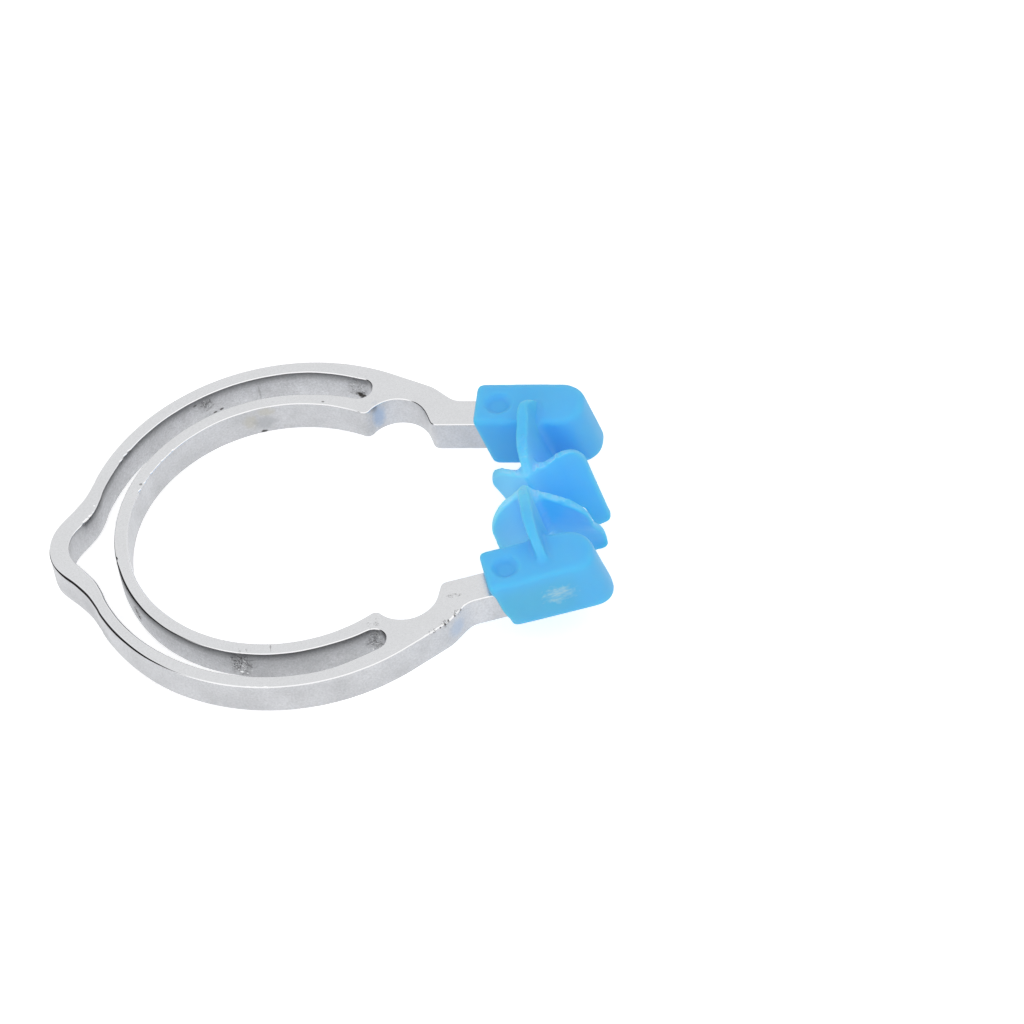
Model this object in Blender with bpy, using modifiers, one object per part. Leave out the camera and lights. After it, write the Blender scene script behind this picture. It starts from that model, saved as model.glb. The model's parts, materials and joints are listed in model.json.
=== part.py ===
"""Sectional matrix ring: a flat spring-steel ring with two pushed-on silicone tips.

Frame: the origin lies under the middle of the whole ring, on the surface it rests on. +X runs
towards the tips, +Y towards the left tip, +Z up. The ring is drawn flat round the centre of its
opening, with z = 0 at the middle of its plate, and an empty then brings it into its resting pose.
"""

import math

import bmesh
import bpy
from mathutils import Matrix, Vector

MM = 0.001

# Plate and bands
plate_thickness = 2.6 * MM
edge_round = 0.1 * MM
bore_radius = 11.0 * MM
inner_band_width = 0.95 * MM
slot_width = 2.02 * MM
outer_band_width = 0.98 * MM
outer_centre_shift = 0.4 * MM
slot_end_angle = math.radians(65)

# Nub at the back of the outer band
nub_reach = 2.0 * MM
nub_radius = 3.75 * MM
nub_wall = 1.4 * MM
nub_flank_angle = math.radians(41)
nub_root_round = 8.0 * MM
slot_root_round = 5.5 * MM

# Shoulders and forceps notches
shoulder_angle = math.radians(57)
shoulder_corner = (11.1 * MM, 10.95 * MM)
shoulder_corner_round = 3.0 * MM
arm_root_round = 1.5 * MM
notch_centre = (8.2 * MM, 7.85 * MM)
notch_radius = 2.35 * MM
notch_exit_angle = math.radians(15)
lip_round = 0.55 * MM

# Arms
arm_width = 2.3 * MM
arm_angle = math.radians(9.2)
arm_root = (11.0 * MM, 8.48 * MM)
arm_free_length = 3.4 * MM
arm_held_length = 5.0 * MM
arm_end_round = 0.4 * MM
arm_shoulder_run = 1.35 * MM

# Tip body
socket_clearance = 0.25 * MM
tip_length = 7.8 * MM
tip_width = 3.7 * MM
tip_offset = 0.2 * MM
tip_top_wall = 1.25 * MM
tip_bottom_wall = 0.75 * MM
tip_edge_round = 0.65 * MM
tip_mouth_round = 0.35 * MM
tip_outer_round = 1.45 * MM
tip_inner_round = 2.25 * MM
tip_lean = math.radians(13.2)
dimple_diameter = 1.75 * MM
dimple_depth = 0.25 * MM
dimple_from_mouth = 1.6 * MM

# Web and saddle
web_from_mouth = 4.25 * MM
web_thickness = 0.8 * MM
web_start = 0.15 * MM
web_rise_pull = (0.92 * MM, 3.44 * MM)
web_fall_pull = (-2.48 * MM, 2.61 * MM)
web_slant = math.radians(3)
web_bottom_step = 0.25 * MM
saddle_gap = 0.4 * MM
saddle_lean = math.radians(16)
saddle_mouth_width = 2.95 * MM
saddle_end_width = 3.7 * MM
saddle_end_fall = 1.2 * MM
wing_angle_top = math.radians(34.5)
wing_angle_foot = math.radians(13)
saddle_wall = 0.55 * MM
saddle_ridge_round = 0.45 * MM
saddle_top_step = 0.4 * MM
saddle_shoulder_round = 1.5 * MM
prong_width = 1.2 * MM
prong_taper = 0.1 * MM
prong_length = 2.5 * MM
prong_end_round = 0.4 * MM
scallop_round = 0.85 * MM
scallop_step = 0.6 * MM
ridge_bump = 0.4 * MM
ridge_bump_half_width = 0.85 * MM

# Facets
large_arc_step = math.radians(4)
small_arc_step = math.radians(15)

# Worked out from the sizes above
slot_inner_radius = bore_radius + inner_band_width
slot_outer_radius = slot_inner_radius + slot_width
outer_radius = slot_outer_radius + outer_band_width
tip_top = plate_thickness / 2 + tip_top_wall
tip_bottom = -plate_thickness / 2 - tip_bottom_wall
arm_axis = (math.cos(arm_angle), -math.sin(arm_angle))
arm_outward = (math.sin(arm_angle), math.cos(arm_angle))
mouth_centre = (
    arm_root[0] + arm_free_length * arm_axis[0],
    arm_root[1] + arm_free_length * arm_axis[1],
)
web_root_y = mouth_centre[1] + web_from_mouth * arm_axis[1]
saddle_reach = (web_root_y - saddle_gap / 2) / math.cos(arm_angle - web_slant)


def clear_scene():
    for old in list(bpy.data.objects):
        bpy.data.objects.remove(old, do_unlink=True)


def make_collection(name):
    collection = bpy.data.collections.new(name)
    bpy.context.scene.collection.children.link(collection)
    return collection


def make_material(name, colour, roughness, metallic):
    material = bpy.data.materials.new(name)
    material.use_nodes = True
    shader = material.node_tree.nodes["Principled BSDF"]
    shader.inputs["Base Color"].default_value = (*colour, 1)
    shader.inputs["Roughness"].default_value = roughness
    shader.inputs["Metallic"].default_value = metallic
    return material


def arc(centre, radius, start, end, step):
    """Points along an arc, both ends included."""
    count = max(2, math.ceil(abs(end - start) / step - 1e-6))
    angles = [start + (end - start) * i / count for i in range(count + 1)]
    return [(centre[0] + radius * math.cos(a), centre[1] + radius * math.sin(a)) for a in angles]


def beside(corners, i):
    return corners[i - 1], corners[(i + 1) % len(corners)]


def round_run(before, corner, after):
    """Length that a corner's round takes from each of its two sides."""
    back = Vector(before[:2]) - Vector(corner[:2])
    ahead = Vector(after[:2]) - Vector(corner[:2])
    return corner[2] / math.tan(back.angle(ahead) / 2) if corner[2] else 0


def side_room(length, neighbour):
    """How much of a side a round may use: less than half where its other end is rounded too."""
    return length * (0.49 if neighbour[2] else 0.98)


def fillet(before, corner, after):
    """Points of the round that replaces a corner, kept within the sides beside it."""
    wanted = round_run(before, corner, after)
    corner = Vector(corner[:2])
    back = Vector(before[:2]) - corner
    ahead = Vector(after[:2]) - corner
    half = back.angle(ahead) / 2
    run = min(wanted, side_room(back.length, before), side_room(ahead.length, after))
    radius = run * math.tan(half)
    centre = corner + (back.normalized() + ahead.normalized()).normalized() * (radius / math.sin(half))
    first = corner + back.normalized() * run - centre
    last = corner + ahead.normalized() * run - centre
    turn = first.angle_signed(last)
    start = math.atan2(first.y, first.x)
    return arc(centre, radius, start, start - turn, small_arc_step)


def rounded(corners):
    """Closed outline from corners (x, y, radius), each rounded to its radius.

    An arc's point that lies within the round of the corner beside it is left out.
    """
    runs = []
    for i, corner in enumerate(corners):
        before, after = beside(corners, i)
        runs.append(round_run(before, corner, after))
    kept = []
    for i, corner in enumerate(corners):
        nearest = zip(beside(corners, i), beside(runs, i))
        crowded = any(math.dist(corner[:2], near[:2]) < run for near, run in nearest)
        if corner[2] or not crowded:
            kept.append(corner)
    outline = []
    for i, corner in enumerate(kept):
        before, after = beside(kept, i)
        outline += fillet(before, corner, after) if corner[2] else [corner[:2]]
    return outline


def sharp(points):
    return [(x, y, 0) for x, y in points]


def line_meets_circle(start, direction, centre, radius):
    """Nearest point ahead at which a line enters a circle."""
    offset = Vector(start) - Vector(centre)
    along = offset.dot(direction)
    depth = along * along - offset.length_squared + radius * radius
    travel = -along - math.sqrt(max(depth, 0))
    return (start[0] + direction[0] * travel, start[1] + direction[1] * travel)


def arm_point(along, across):
    """Point of the left arm: a distance along it from its root, and one outward from its middle."""
    return (
        arm_root[0] + along * arm_axis[0] + across * arm_outward[0],
        arm_root[1] + along * arm_axis[1] + across * arm_outward[1],
    )


def nub_corners(radius, band_radius, root_round):
    """Half of the nub on a given side of its wall, from the axis to the band's circle."""
    band_centre = (outer_centre_shift, 0)
    nub_centre = (outer_centre_shift - outer_radius - nub_reach + nub_radius, 0)
    end = arc(nub_centre, radius, math.pi, math.pi - nub_flank_angle, small_arc_step)
    flank = (math.sin(nub_flank_angle), math.cos(nub_flank_angle))
    root = line_meets_circle(end[-1], flank, band_centre, band_radius)
    root_angle = math.atan2(root[1], root[0] - band_centre[0])
    return sharp(end) + [(*root, root_round)], root_angle


def band_arc(radius, start, end):
    points = arc((outer_centre_shift, 0), radius, start, end, large_arc_step)
    return sharp(points[1:])


def outline_half():
    """Left half of the ring's outline: nub, shoulder, arm, notch and round opening."""
    half_width = arm_width / 2
    arm_length = arm_free_length + arm_held_length
    path, root_angle = nub_corners(nub_radius, outer_radius, nub_root_round)
    path += band_arc(outer_radius, root_angle, shoulder_angle)
    path.append((*shoulder_corner, shoulder_corner_round))
    path.append((*arm_point(arm_shoulder_run, half_width), arm_root_round))
    path.append((*arm_point(arm_length, half_width), arm_end_round))
    path.append((*arm_point(arm_length, -half_width), arm_end_round))

    notch_x, notch_y = notch_centre
    exit_x = notch_x + notch_radius * math.cos(notch_exit_angle)
    exit_y = notch_y + notch_radius * math.sin(notch_exit_angle)
    corner_y = arm_point(0, -half_width)[1]
    corner_x = exit_x + math.tan(notch_exit_angle) * (exit_y - corner_y)
    path.append((corner_x, corner_y, lip_round))

    reach = math.hypot(notch_x, notch_y)
    towards = math.atan2(notch_y, notch_x)
    cosine = (reach**2 + bore_radius**2 - notch_radius**2) / (2 * reach * bore_radius)
    lip_angle = towards + math.acos(cosine)
    lip = (bore_radius * math.cos(lip_angle), bore_radius * math.sin(lip_angle))
    notch_start = math.atan2(lip[1] - notch_y, lip[0] - notch_x)
    notch = arc(notch_centre, notch_radius, notch_exit_angle, notch_start, small_arc_step / 2)
    path += sharp(notch[:-1])
    path.append((*lip, lip_round))
    bore = arc((0, 0), bore_radius, lip_angle, math.pi, large_arc_step)
    return path + sharp(bore[1:])


def slot_half():
    """Left half of the crescent slot between the two bands."""
    path, root_angle = nub_corners(nub_radius - nub_wall, slot_outer_radius, slot_root_round)
    path += band_arc(slot_outer_radius, root_angle, slot_end_angle)
    shift = outer_centre_shift * math.cos(slot_end_angle)
    spare = outer_centre_shift**2 + 2 * shift * slot_outer_radius
    spare += slot_outer_radius**2 - slot_inner_radius**2
    end_radius = spare / (2 * (slot_inner_radius + slot_outer_radius + shift))
    end_reach = slot_outer_radius - end_radius
    end_x = outer_centre_shift + end_reach * math.cos(slot_end_angle)
    end_y = end_reach * math.sin(slot_end_angle)
    inner_angle = math.atan2(end_y, end_x)
    end = arc((end_x, end_y), end_radius, slot_end_angle, inner_angle - math.pi, small_arc_step)
    path += sharp(end[1:-1])
    inner = arc((0, 0), slot_inner_radius, inner_angle, math.pi, large_arc_step)
    return path + sharp(inner)


def both_sides(half):
    """Whole outline from a left half that starts and ends on the axis."""
    mirrored = [(x, -y, radius) for x, y, radius in reversed(half[1:-1])]
    return rounded(half + mirrored)


def flat_shape(name, outlines, thickness, edge=0.0):
    """Mesh object of filled outlines in XY, centred on z = 0, with its long edges rounded."""
    curve = bpy.data.curves.new(name, "CURVE")
    curve.dimensions = "2D"
    curve.fill_mode = "BOTH"
    curve.extrude = thickness / 2 - edge
    curve.bevel_depth = edge
    curve.bevel_resolution = 1
    curve.offset = -edge
    for outline in outlines:
        spline = curve.splines.new("POLY")
        spline.points.add(len(outline) - 1)
        for point, (x, y) in zip(spline.points, outline):
            point.co = (x, y, 0, 1)
        spline.use_cyclic_u = True
    drawn = bpy.data.objects.new(name + "_outline", curve)
    bpy.context.scene.collection.objects.link(drawn)
    evaluated = drawn.evaluated_get(bpy.context.evaluated_depsgraph_get())
    mesh = bpy.data.meshes.new_from_object(evaluated)
    bpy.data.objects.remove(drawn, do_unlink=True)
    mesh.name = name
    work = bmesh.new()
    work.from_mesh(mesh)
    bmesh.ops.remove_doubles(work, verts=work.verts, dist=1e-6)
    bmesh.ops.recalc_face_normals(work, faces=work.faces)
    work.to_mesh(mesh)
    work.free()
    mesh.materials.clear()
    return bpy.data.objects.new(name, mesh)


def clean_caps(mesh):
    """Join the flat caps' triangles, so that their edges can be rounded."""
    work = bmesh.new()
    work.from_mesh(mesh)
    bmesh.ops.dissolve_limit(work, angle_limit=math.radians(1), verts=work.verts, edges=work.edges)
    work.to_mesh(mesh)
    work.free()


def apply_modifiers(piece):
    """Replace a piece's mesh by its evaluated one."""
    evaluated = piece.evaluated_get(bpy.context.evaluated_depsgraph_get())
    mesh = bpy.data.meshes.new_from_object(evaluated)
    piece.modifiers.clear()
    piece.data = mesh


def combine(piece, other, operation):
    """Boolean of two linked objects, kept in the first."""
    modifier = piece.modifiers.new(operation.title(), "BOOLEAN")
    modifier.operation = operation
    modifier.solver = "EXACT"
    modifier.object = other
    apply_modifiers(piece)


def add_cutter(piece, collection):
    collection.objects.link(piece)
    piece.hide_render = True
    piece.display_type = "WIRE"
    return piece


def make_spring_ring(collection, material):
    outlines = [both_sides(outline_half()), both_sides(slot_half())]
    ring = flat_shape("spring_ring", outlines, plate_thickness, edge_round)
    collection.objects.link(ring)
    ring.data.materials.append(material)
    ring.data.shade_smooth()
    ring.data.set_sharp_from_angle(angle=math.radians(30))
    return ring


def turn_upright(mesh, across, up, through):
    """Turn a mesh drawn in XY so that its X, Y and thickness run along three given directions."""
    axes = Matrix((across, up, through)).transposed().to_4x4()
    mesh.transform(axes)
    if axes.determinant() < 0:
        mesh.flip_normals()


def tip_block(name, inward):
    """Body of a tip: flat mouth, blunt round end, rounded long edges."""
    outer = inward * (tip_offset - tip_width / 2)
    inner = inward * (tip_offset + tip_width / 2)
    corners = [
        (0, inner, tip_mouth_round),
        (0, outer, tip_mouth_round),
        (tip_length, outer, tip_outer_round),
        (tip_length, inner, tip_inner_round),
    ]
    block = flat_shape(name, [rounded(corners)], tip_top - tip_bottom)
    block.data.transform(Matrix.Translation((0, 0, (tip_top + tip_bottom) / 2)))
    clean_caps(block.data)
    bevel = block.modifiers.new("Edges", "BEVEL")
    bevel.width = tip_edge_round
    bevel.segments = 3
    bevel.limit_method = "ANGLE"
    bevel.angle_limit = math.radians(60)
    return block


def web_shape(name, inward):
    """Thin web from the body to the saddle, with an arched upper edge."""
    rise_start = Vector((-web_start, tip_top - web_bottom_step))
    rise_end = Vector((saddle_reach - saddle_wall / 2, tip_top - saddle_top_step))
    first = rise_start + Vector(web_rise_pull)
    second = rise_end + Vector(web_fall_pull)
    arch = []
    steps = 14
    for i in range(steps + 1):
        t = i / steps
        s = 1 - t
        arch.append(s**3 * rise_start + 3 * s * s * t * first + 3 * s * t * t * second + t**3 * rise_end)
    foot = tip_bottom + web_bottom_step
    outline = [tuple(p) for p in arch]
    outline.append((saddle_reach - saddle_wall, foot))
    outline.append((-web_start, foot))
    web = flat_shape(name, [outline], web_thickness)
    turn_upright(web.data, (0, inward, 0), (0, 0, 1), (1, 0, 0))
    return web


def open_wings(mesh, inward):
    """Bend a chevron wall so that its wings sweep back less at the prongs than at the top."""
    top = tip_top - saddle_top_step
    fall = top - (tip_bottom - prong_length)
    less = math.tan(wing_angle_top) - math.tan(wing_angle_foot)
    work = bmesh.new()
    work.from_mesh(mesh)
    cuts = [((0, 0, 1), top - fall * i / 8) for i in range(9)]
    cuts += [((1, 0, 0), saddle_end_width * i / 3) for i in range(-3, 4)]
    for direction, level in cuts:
        everything = work.verts[:] + work.edges[:] + work.faces[:]
        point = Vector(direction) * level
        bmesh.ops.bisect_plane(work, geom=everything, plane_co=point, plane_no=direction, dist=1e-7)
    for vert in work.verts:
        part_way = min(max((top - vert.co.z) / fall, 0), 1)
        vert.co.y += inward * part_way * less * abs(vert.co.x)
    bmesh.ops.triangulate(work, faces=work.faces)
    work.to_mesh(mesh)
    work.free()


def saddle_walls(name, inward):
    """Chevron-shaped wall whose ridge points at the other tip; its wings open towards the prongs."""
    slant = saddle_wall / math.cos(wing_angle_top)
    spread = 1.2 * saddle_end_width
    back = -spread * math.tan(wing_angle_top)
    corners = [
        (-spread, back, 0),
        (0, 0, saddle_ridge_round),
        (spread, back, 0),
        (spread, back - slant, 0),
        (0, -slant, 0),
        (-spread, back - slant, 0),
    ]
    outline = [(x, inward * y) for x, y in rounded(corners)]
    walls = flat_shape(name, [outline], 3 * (tip_top - tip_bottom + prong_length))
    open_wings(walls.data, inward)
    return walls


def shield_side(width, fall):
    """One side of the saddle seen from the front: shoulder, prong and scalloped lower edge."""
    scallop = tip_bottom - scallop_step
    prong_end = scallop - prong_length
    foot = width - prong_taper
    return [
        (width, tip_top - saddle_top_step - fall, saddle_shoulder_round),
        (foot, prong_end, prong_end_round),
        (foot - prong_width, prong_end, prong_end_round),
        (foot - prong_width - prong_taper, scallop, scallop_round),
        (ridge_bump_half_width, scallop, ridge_bump / 2),
        (ridge_bump_half_width / 2, scallop - ridge_bump, ridge_bump / 2),
    ]


def saddle_shield(name):
    """Front view of the whole saddle, thick enough to cut its shape out of the walls."""
    end_side = shield_side(saddle_end_width, saddle_end_fall)
    mouth_side = shield_side(saddle_mouth_width, 0)
    mirrored = [(-x, z, radius) for x, z, radius in reversed(mouth_side)]
    corners = [(0, tip_top - saddle_top_step, 0)] + end_side + mirrored
    shield = flat_shape(name, [rounded(corners)], 4 * saddle_reach)
    turn_upright(shield.data, (1, 0, 0), (0, 0, 1), (0, -1, 0))
    return shield


def socket_cutter(name):
    """Straight pocket for the arm, with clearance all round and at its end."""
    depth = arm_held_length + socket_clearance
    start = tip_top
    bpy.ops.mesh.primitive_cube_add(size=1)
    cutter = bpy.context.object
    cutter.name = name
    sizes = Matrix.Diagonal(
        (
            depth + start,
            arm_width + 2 * socket_clearance,
            plate_thickness + 2 * socket_clearance,
            1,
        )
    )
    cutter.data.transform(Matrix.Translation(((depth - start) / 2, 0, 0)) @ sizes)
    return cutter


def dimple_cutter(name, inward):
    """Large ball that leaves a shallow round dimple in the upper face."""
    radius = (dimple_diameter**2 / 4 + dimple_depth**2) / (2 * dimple_depth)
    bpy.ops.mesh.primitive_uv_sphere_add(segments=36, ring_count=36, radius=radius)
    cutter = bpy.context.object
    cutter.name = name
    lift = tip_top + radius - dimple_depth
    slide = dimple_from_mouth - math.tan(tip_lean) * tip_top
    cutter.data.transform(Matrix.Translation((slide, inward * tip_offset, lift)))
    return cutter


def make_tip(name, side, collection, cutters, material):
    """One tip. Its side is 1 on the left arm and -1 on the right one."""
    inward = -side
    tip = tip_block(name, inward)
    collection.objects.link(tip)
    apply_modifiers(tip)
    saddle = add_cutter(saddle_walls(name + "_saddle", inward), cutters)
    shield = add_cutter(saddle_shield(name + "_shield"), cutters)
    web = add_cutter(web_shape(name + "_web", inward), cutters)
    web_root = Matrix.Translation((web_from_mouth, 0, 0)) @ Matrix.Rotation(side * web_slant, 4, "Z")
    ridge = web_root @ Matrix.Translation((0, inward * saddle_reach, 0))
    square_up = Matrix.Rotation(side * (arm_angle - web_slant), 4, "Z")
    web.data.transform(web_root)
    combine(tip, web, "UNION")
    lean = Matrix.Identity(4)
    lean[0][2] = -math.tan(tip_lean)
    tip.data.transform(lean)
    combine(saddle, shield, "INTERSECT")
    saddle.data.transform(ridge @ square_up @ Matrix.Rotation(-saddle_lean, 4, "Y"))
    combine(tip, saddle, "UNION")
    for cutter in (socket_cutter(name + "_socket"), dimple_cutter(name + "_dimple", inward)):
        for owner in cutter.users_collection:
            owner.objects.unlink(cutter)
        combine(tip, add_cutter(cutter, cutters), "DIFFERENCE")
    for guide in [shield, web, saddle]:
        bpy.data.objects.remove(guide, do_unlink=True)

    tip.data.name = name
    tip.data.materials.clear()
    tip.data.materials.append(material)
    tip.data.shade_smooth()
    tip.data.set_sharp_from_angle(angle=math.radians(35))
    tip.location = (mouth_centre[0], side * mouth_centre[1], 0)
    tip.rotation_euler = (0, 0, -side * arm_angle)
    return tip


def lay_down(pieces, pose):
    """Tip the flat ring until its nub and the prongs touch the surface below."""
    bpy.context.view_layer.update()
    corners = [piece.matrix_world @ vert.co for piece in pieces for vert in piece.data.vertices]
    heel_x = min(corner.x for corner in corners) + edge_round
    heel_z = -plate_thickness / 2
    toes = [corner for corner in corners if corner.z < heel_z - edge_round]
    tilt = max(math.atan2(heel_z - toe.z, toe.x - heel_x) for toe in toes)
    turned = [Matrix.Rotation(-tilt, 3, "Y") @ corner for corner in corners]
    middle_x = (min(corner.x for corner in turned) + max(corner.x for corner in turned)) / 2
    pose.rotation_euler = (0, -tilt, 0)
    pose.location = (-middle_x, 0, -min(corner.z for corner in turned))
    for piece in pieces:
        piece.parent = pose
    bpy.context.view_layer.update()


def main():
    clear_scene()
    parts = make_collection("sectional_matrix_ring")
    cutters = make_collection("cutters")
    steel = make_material("polished_spring_steel", (0.62, 0.63, 0.65), 0.28, 1.0)
    silicone = make_material("sky_blue_silicone", (0.10, 0.44, 0.86), 0.42, 0.0)
    pieces = [
        make_spring_ring(parts, steel),
        make_tip("left_tip", 1, parts, cutters, silicone),
        make_tip("right_tip", -1, parts, cutters, silicone),
    ]
    pose = bpy.data.objects.new("resting_pose", None)
    parts.objects.link(pose)
    lay_down(pieces, pose)


main()
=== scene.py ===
import json
import math

import bmesh
import bpy
from mathutils import Matrix, Vector, noise


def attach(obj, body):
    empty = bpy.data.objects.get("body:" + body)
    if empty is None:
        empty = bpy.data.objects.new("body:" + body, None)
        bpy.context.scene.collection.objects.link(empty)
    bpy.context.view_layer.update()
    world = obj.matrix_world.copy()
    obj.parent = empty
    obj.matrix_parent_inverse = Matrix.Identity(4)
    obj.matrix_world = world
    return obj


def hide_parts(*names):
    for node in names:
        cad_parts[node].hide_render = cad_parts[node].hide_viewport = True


# A sectional matrix ring: polished spring steel with two soft silicone tips

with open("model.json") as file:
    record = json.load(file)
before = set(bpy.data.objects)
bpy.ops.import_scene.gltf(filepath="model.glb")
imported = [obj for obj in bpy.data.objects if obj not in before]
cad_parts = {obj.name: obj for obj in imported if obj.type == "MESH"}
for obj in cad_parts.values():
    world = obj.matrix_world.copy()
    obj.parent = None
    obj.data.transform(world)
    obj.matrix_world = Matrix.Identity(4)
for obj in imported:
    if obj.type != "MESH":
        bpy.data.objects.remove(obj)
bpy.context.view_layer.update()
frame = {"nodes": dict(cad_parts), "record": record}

mm = 0.001
noiseSpan = (0.3, 0.7)    # where most values of a noise pattern lie


# The plate's own frame: flat faces level, origin at the middle of the round opening

plateUser = {
    "mountAhead": 9.0,      # mm from the opening's middle to the shoulder mounts
}


def plateFrame():
    # the plate's place in the world, and its thickness, from the record's first two mounts
    upper, lower = frame["record"]["mounts"][:2]
    normal = Vector(upper["axis"]).normalized()
    forward = Vector((normal.z, 0, -normal.x))
    above, below = Vector(upper["pos_m"]), Vector(lower["pos_m"])
    middle = (above + below) / 2 - forward * plateUser["mountAhead"] * mm
    middle.y = 0
    axes = Matrix((forward, (0, 1, 0), normal)).transposed().to_4x4()
    return Matrix.Translation(middle) @ axes, (above - below).dot(normal)


plateToWorld, plateThickness = plateFrame()
worldToPlate = plateToWorld.inverted()


def finishPiece(name, mesh, node):
    # the mesh comes in the plate's own frame, in metres
    mesh.transform(plateToWorld)
    for vert in mesh.vertices:
        vert.co.z = max(vert.co.z, 0)    # nothing dips below the surface that the ring lies on
    piece = bpy.data.objects.new(name, mesh)
    bpy.context.scene.collection.objects.link(piece)
    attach(piece, "root")
    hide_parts(node)
    print("%s: %d faces" % (name, len(mesh.polygons)))


def smoothStep(value, low, high):
    t = min(max((value - low) / (high - low), 0), 1)
    return t * t * (3 - 2 * t)


# Colours and nodes

def hexColour(code):
    # sRGB hex to linear
    channels = [int(code[i:i + 2], 16) / 255 for i in (1, 3, 5)]
    linear = [c / 12.92 if c <= 0.04045 else ((c + 0.055) / 1.055) ** 2.4 for c in channels]
    return (*linear, 1.0)


def addNode(tree, kind, inputs=(), **settings):
    # one node; inputs go by name or in their order, and each is a value, an output, or a node for its result
    node = tree.nodes.new(kind)
    for name, value in settings.items():
        setattr(node, name, value)
    for socket, value in (inputs.items() if isinstance(inputs, dict) else enumerate(inputs)):
        if isinstance(value, bpy.types.Node):
            value = next(output for output in value.outputs if output.enabled)
        if isinstance(value, bpy.types.NodeSocket):
            tree.links.new(value, node.inputs[socket])
        else:
            node.inputs[socket].default_value = value
    return node


def perMm(size):
    # texture scale for a pattern of this size in millimetres
    return 1 / (size * mm)


def newMaterial(name):
    # an empty material, and the place in the plate's frame that its patterns are laid out on
    material = bpy.data.materials.new(name)
    material.use_nodes = True
    tree = material.node_tree
    tree.nodes.clear()
    place = addNode(tree, "ShaderNodeMapping", {
        "Vector": addNode(tree, "ShaderNodeTexCoord").outputs["Object"],
        "Location": plateToWorld.translation,
        "Rotation": plateToWorld.to_euler(),
    }, vector_type="TEXTURE")
    return material, tree, place


def facing(tree, way):
    # how squarely the surface faces a way in the plate's frame, from -1 to 1
    normal = addNode(tree, "ShaderNodeNewGeometry").outputs["Normal"]
    return addNode(tree, "ShaderNodeVectorMath", (
        normal, plateToWorld.to_3x3() @ Vector(way),
    ), operation="DOT_PRODUCT")


def faded(tree, mask, *fades):
    # the mask times each fade: a running value, from where to where, and the shares there
    for fade in fades:
        share = addNode(tree, "ShaderNodeMapRange", fade)
        mask = addNode(tree, "ShaderNodeMath", (mask, share), operation="MULTIPLY")
    return mask


def coated(tree, colour, *coats):
    # colours laid over the first one, each where its mask says
    for mask, code in coats:
        colour = addNode(tree, "ShaderNodeMix", {
            "Factor": mask, "A": colour, "B": hexColour(code),
        }, data_type="RGBA")
    return colour


def patch(tree, place, mark, ragged=0.0, bitSize=0.3):
    # 1 inside an ellipsoid and 0 outside, by its middle and half sizes in mm; the edge is ragged by a share of
    # its size, in bits of this size in mm
    middle, sizes = Vector(mark[:3]) * mm, Vector(mark[3:6]) * mm
    shifted = addNode(tree, "ShaderNodeVectorMath", (place, middle), operation="SUBTRACT")
    scaled = addNode(tree, "ShaderNodeVectorMath", (shifted, sizes), operation="DIVIDE")
    away = addNode(tree, "ShaderNodeVectorMath", (scaled,), operation="LENGTH")
    if ragged:
        rag = addNode(tree, "ShaderNodeTexNoise", {"Vector": place, "Scale": perMm(bitSize), "Detail": 2.0})
        shift = addNode(tree, "ShaderNodeMapRange", (rag, *noiseSpan, -ragged, ragged))
        away = addNode(tree, "ShaderNodeMath", (away, shift), operation="ADD")
    return addNode(tree, "ShaderNodeMapRange", (away, 0.5, 1.0, 1.0, 0.0))


def marked(tree, place, marks, ragged=0.0):
    # one mask for a list of marks: middle and half sizes in mm, strength
    mask = 0.0
    for *mark, strength in marks:
        spot = patch(tree, place, mark, ragged)
        spot = addNode(tree, "ShaderNodeMath", (spot, strength), operation="MULTIPLY")
        mask = addNode(tree, "ShaderNodeMath", (mask, spot), operation="MAXIMUM")
    return mask


# Polished spring steel ring; x runs towards the tips, y to the left and z up in the plate's frame

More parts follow.
